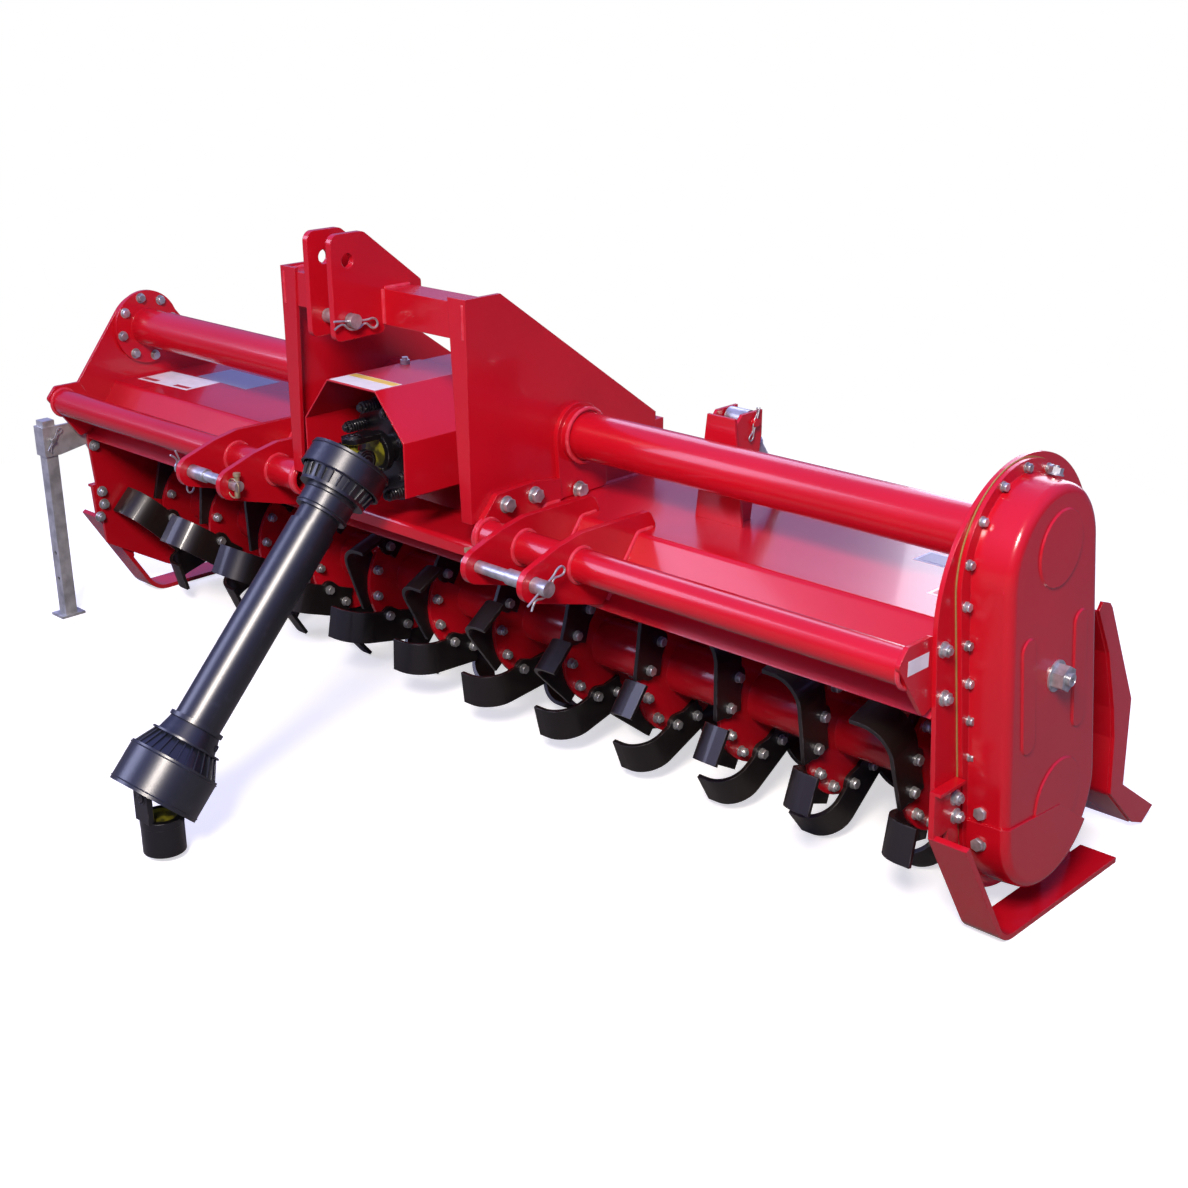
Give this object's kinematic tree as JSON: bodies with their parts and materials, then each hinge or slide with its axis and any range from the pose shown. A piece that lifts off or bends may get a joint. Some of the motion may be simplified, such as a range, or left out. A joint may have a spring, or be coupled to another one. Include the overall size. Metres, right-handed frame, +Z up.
{
  "type": "tractor-mounted rotary tiller",
  "caption": "Wide red rotavator with a three-point hitch mast, a drooping PTO shaft, a bladed rotor under a deck, a side gear case, skids, a parking stand and a hinged tailboard.",
  "frame": {"origin": "on the ground, under the middle of the whole machine's box", "axes": "+X towards the gear case, along the rotor; +Y to the rear, away from the tractor; +Z up"},
  "size_m": [2.546, 1.4144, 1.052],
  "materials": {
    "red_paint": "gloss",
    "black_paint": "satin",
    "yellow_paint": "satin",
    "black_plastic": "satin",
    "zinc": "satin",
    "bare_steel": "satin",
    "gasket": "matte"
  },
  "bodies": {
    "machine": {"deck": "red_paint", "deck_hinges": "red_paint", "side_plate_right": "red_paint", "side_plate_left": "red_paint", "deck_end_gussets": "red_paint", "main_tube_right": "red_paint", "main_tube_left": "red_paint", "mast_plate_right": "red_paint", "mast_plate_left": "red_paint", "mast_cross_tube": "red_paint", "mast_rear_bar": "red_paint", "top_link_clevis": "red_paint", "top_link_pin": "bare_steel", "hitch_plates": "red_paint", "lower_clevis_right": "red_paint", "lower_clevis_left": "red_paint", "lower_pin_right": "bare_steel", "lower_pin_left": "bare_steel", "front_tubes": "red_paint", "front_apron": "red_paint", "gearbox": "red_paint", "pto_shroud": "red_paint", "slip_clutch": "black_paint", "rotor_hubs": "red_paint", "rotor_end_cap": "red_paint", "gear_gasket": "gasket", "gear_cover": "red_paint", "gear_cover_guard": "red_paint", "idler_nut": "zinc", "skid_right": "red_paint", "skid_left": "red_paint", "stand_socket": "zinc", "rod_towers": "red_paint"},
    "rotor": {"rotor_shaft": "red_paint", "tines_left": "black_paint", "tines_right": "black_paint"},
    "tailboard": {"tailboard": "red_paint", "tailboard_ends": "red_paint"},
    "sleeve_right": {"rod_sleeve_right": "zinc"},
    "sleeve_left": {"rod_sleeve_left": "zinc"},
    "rod_right": {"lift_rod_right": "zinc"},
    "rod_left": {"lift_rod_left": "zinc"},
    "stand_leg": {"stand_leg": "zinc"},
    "cross_upper": {"cross_upper": "yellow_paint"},
    "driveline_upper": {"upper_shaft": "black_paint", "upper_guard": "black_plastic"},
    "driveline_lower": {"lower_shaft": "black_paint", "lower_guard": "black_plastic"},
    "cross_lower": {"cross_lower": "yellow_paint"},
    "tractor_yoke": {"tractor_yoke": "black_paint"}
  },
  "joints": [
    {"name": "rotor_spin", "type": "hinge", "parent": "machine", "child": "rotor", "pos_m": [-0.015, 0.24821, 0.2295], "axis": [1, 0, 0], "continuous": true},
    {"name": "tailboard_lift", "type": "hinge", "parent": "machine", "child": "tailboard", "pos_m": [-0.015, 0.40221, 0.53], "axis": [1, 0, 0], "range_deg": [0, 60]},
    {"name": "sleeve_pivot_right", "type": "hinge", "parent": "machine", "child": "sleeve_right", "pos_m": [0.553, 0.27121, 0.731], "axis": [1, 0, 0], "range_deg": [0, 17.77]},
    {"name": "rod_slide_right", "type": "slide", "parent": "sleeve_right", "child": "rod_right", "axis": [0, 0.5877, -0.8091], "range_m": [-0.05252, 0]},
    {"name": "sleeve_pivot_left", "type": "hinge", "parent": "machine", "child": "sleeve_left", "pos_m": [-0.583, 0.27121, 0.731], "axis": [1, 0, 0], "range_deg": [0, 17.77]},
    {"name": "rod_slide_left", "type": "slide", "parent": "sleeve_left", "child": "rod_left", "axis": [0, 0.5877, -0.8091], "range_m": [-0.05252, 0]},
    {"name": "stand_slide", "type": "slide", "parent": "machine", "child": "stand_leg", "axis": [0, 0, 1], "range_m": [0, 0.3]},
    {"name": "shaft_swing", "type": "hinge", "parent": "machine", "child": "cross_upper", "pos_m": [-0.015, -0.15379, 0.639], "axis": [0, 0, 1], "range_deg": [-20, 20]},
    {"name": "shaft_tilt", "type": "hinge", "parent": "cross_upper", "child": "driveline_upper", "pos_m": [-0.015, -0.15379, 0.639], "axis": [1, 0, 0], "range_deg": [-60, 0]},
    {"name": "shaft_telescope", "type": "slide", "parent": "driveline_upper", "child": "driveline_lower", "axis": [0, -0.6845, -0.729], "range_m": [0, 0.3]},
    {"name": "yoke_tilt", "type": "hinge", "parent": "driveline_lower", "child": "cross_lower", "pos_m": [-0.015, -0.63092, 0.13091], "axis": [1, 0, 0], "range_deg": [-80, 0]},
    {"name": "yoke_swing", "type": "hinge", "parent": "cross_lower", "child": "tractor_yoke", "pos_m": [-0.015, -0.63092, 0.13091], "axis": [0, 1, 0], "range_deg": [-15, 15]}
  ],
  "couplings": [
    {"joint": "sleeve_pivot_right", "follows": "tailboard_lift", "ratio": 0.29616},
    {"joint": "rod_slide_right", "follows": "tailboard_lift", "m_per_rad": -0.05015},
    {"joint": "sleeve_pivot_left", "follows": "tailboard_lift", "ratio": 0.29616},
    {"joint": "rod_slide_left", "follows": "tailboard_lift", "m_per_rad": -0.05015}
  ]
}
